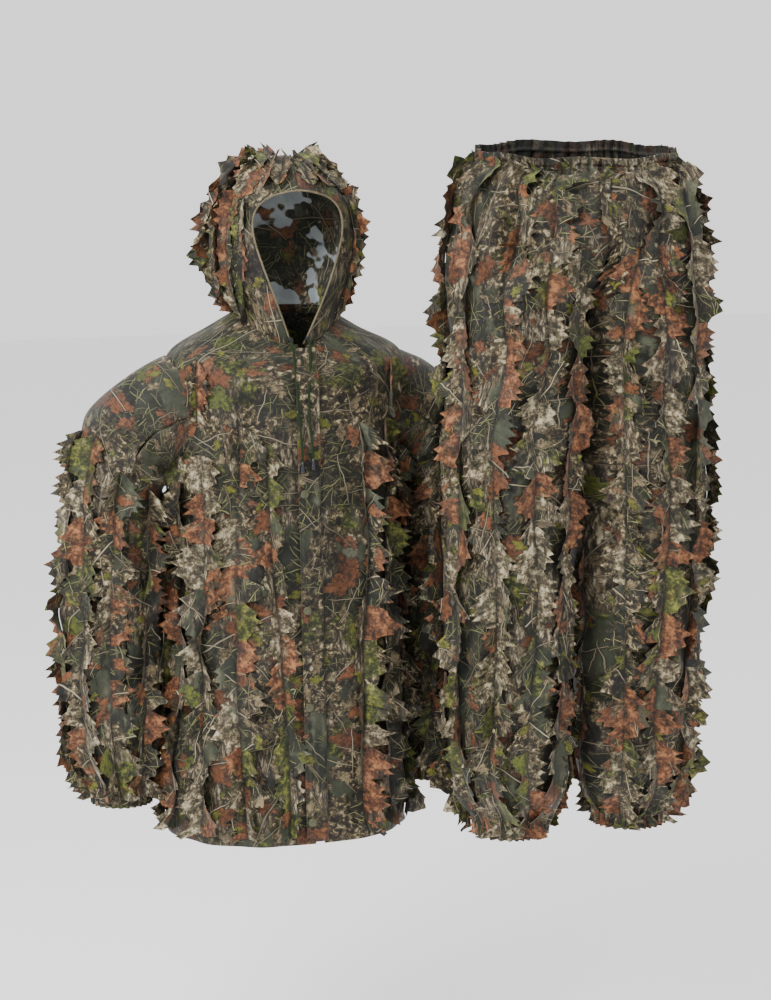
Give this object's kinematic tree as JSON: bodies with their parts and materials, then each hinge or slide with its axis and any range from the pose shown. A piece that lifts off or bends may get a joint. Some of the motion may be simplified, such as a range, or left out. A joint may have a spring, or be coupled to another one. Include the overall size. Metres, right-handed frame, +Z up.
{
  "type": "ghillie suit",
  "caption": "Leaf-strip camouflage suit: a hooded jacket with zip, storm flap and drawcords, and elastic-waist trousers with gathered ankles.",
  "frame": {"origin": "the middle of the jacket's neck opening, where a hanger or a dress form holds the suit", "axes": "+Z up, the fronts of both garments face -Y, and +X is the wearer's left, where the trousers hang"},
  "size_m": [0.997, 0.4768, 1.0682],
  "materials": {
    "camo_print": "thin printed polyester, matt with a faint sheen",
    "leaf_cloth": "printed polyester cut into leaves",
    "binding": "matt binding tape",
    "elastic": "ribbed elastic webbing",
    "drawcord": "round braided cord",
    "moulded": "smooth moulded",
    "zip": "coil zip tape and coated slider"
  },
  "bodies": {
    "jacket": {"back_panel": "camo_print", "front_panel_right": "camo_print", "front_panel_left": "camo_print", "hem_band": "camo_print", "collar_band": "binding", "zip_tape_right": "zip", "zip_tape_left": "zip", "flap_top": "camo_print", "snap_socket_1": "moulded", "snap_socket_2": "moulded", "snap_socket_3": "moulded", "snap_socket_4": "moulded", "hang_loop": "binding", "eyelet_right": "moulded", "eyelet_left": "moulded", "drawcord_right": "drawcord", "drawcord_left": "drawcord", "cord_end_right": "moulded", "cord_end_left": "moulded", "leaf_strip_front_right": "leaf_cloth", "leaf_strip_front_left": "leaf_cloth", "leaf_strip_back": "leaf_cloth"},
    "hood": {"hood_side_right": "camo_print", "hood_side_left": "camo_print", "hood_centre_panel": "camo_print", "hood_face_hem": "binding"},
    "sleeve_right": {"sleeve_front_right": "camo_print", "sleeve_back_right": "camo_print", "cuff_right_casing": "camo_print", "cuff_right_elastic": "elastic", "leaf_strip_sleeve_right": "leaf_cloth"},
    "sleeve_left": {"sleeve_front_left": "camo_print", "sleeve_back_left": "camo_print", "cuff_left_casing": "camo_print", "cuff_left_elastic": "elastic", "leaf_strip_sleeve_left": "leaf_cloth"},
    "storm_flap": {"storm_flap": "camo_print", "snap_cap_1": "moulded", "snap_cap_2": "moulded", "snap_cap_3": "moulded", "snap_cap_4": "moulded"},
    "zip_slider": {"zip_slider": "zip"},
    "zip_pull": {"zip_pull": "zip"},
    "trousers": {"waist_casing": "camo_print", "waist_elastic": "elastic", "front_rise_right": "camo_print", "front_rise_left": "camo_print", "back_rise_right": "camo_print", "back_rise_left": "camo_print"},
    "leg_right": {"leg_front_right": "camo_print", "leg_back_right": "camo_print", "ankle_right_casing": "camo_print", "ankle_right_elastic": "elastic", "leaf_strip_leg_right": "leaf_cloth"},
    "leg_left": {"leg_front_left": "camo_print", "leg_back_left": "camo_print", "ankle_left_casing": "camo_print", "ankle_left_elastic": "elastic", "leaf_strip_leg_left": "leaf_cloth"}
  },
  "joints": [
    {"name": "hood_fold", "type": "hinge", "parent": "jacket", "child": "hood", "pos_m": [0, 0.072, 0.05], "axis": [-1, 0, 0], "range_deg": [0, 70]},
    {"name": "sleeve_right_lift", "type": "hinge", "parent": "jacket", "child": "sleeve_right", "pos_m": [-0.193, 0.008, -0.034], "axis": [0, 1, 0], "range_deg": [0, 40]},
    {"name": "sleeve_left_lift", "type": "hinge", "parent": "jacket", "child": "sleeve_left", "pos_m": [0.193, 0.008, -0.034], "axis": [0, -1, 0], "range_deg": [0, 40]},
    {"name": "flap_open", "type": "hinge", "parent": "jacket", "child": "storm_flap", "pos_m": [0.02, -0.13994, -0.47949], "axis": [0, 0.0619, 0.9981], "range_deg": [0, 150]},
    {"name": "zip_run", "type": "slide", "parent": "jacket", "child": "zip_slider", "axis": [0, -0.0619, -0.9981], "range_m": [0, 0.61]},
    {"name": "zip_pull_swing", "type": "hinge", "parent": "zip_slider", "child": "zip_pull", "pos_m": [0.008, -0.11506, -0.13145], "axis": [0, -0.9981, 0.0619], "range_deg": [-35, 35]},
    {"name": "trousers_aside", "type": "slide", "parent": "jacket", "child": "trousers", "axis": [1, 0, 0], "range_m": [0, 0.25]},
    {"name": "leg_right_swing", "type": "hinge", "parent": "trousers", "child": "leg_right", "pos_m": [0.299, -0.195, 0.06], "axis": [-1, 0, 0], "range_deg": [0, 40]},
    {"name": "leg_left_swing", "type": "hinge", "parent": "trousers", "child": "leg_left", "pos_m": [0.507, -0.195, 0.06], "axis": [-1, 0, 0], "range_deg": [0, 40]}
  ]
}
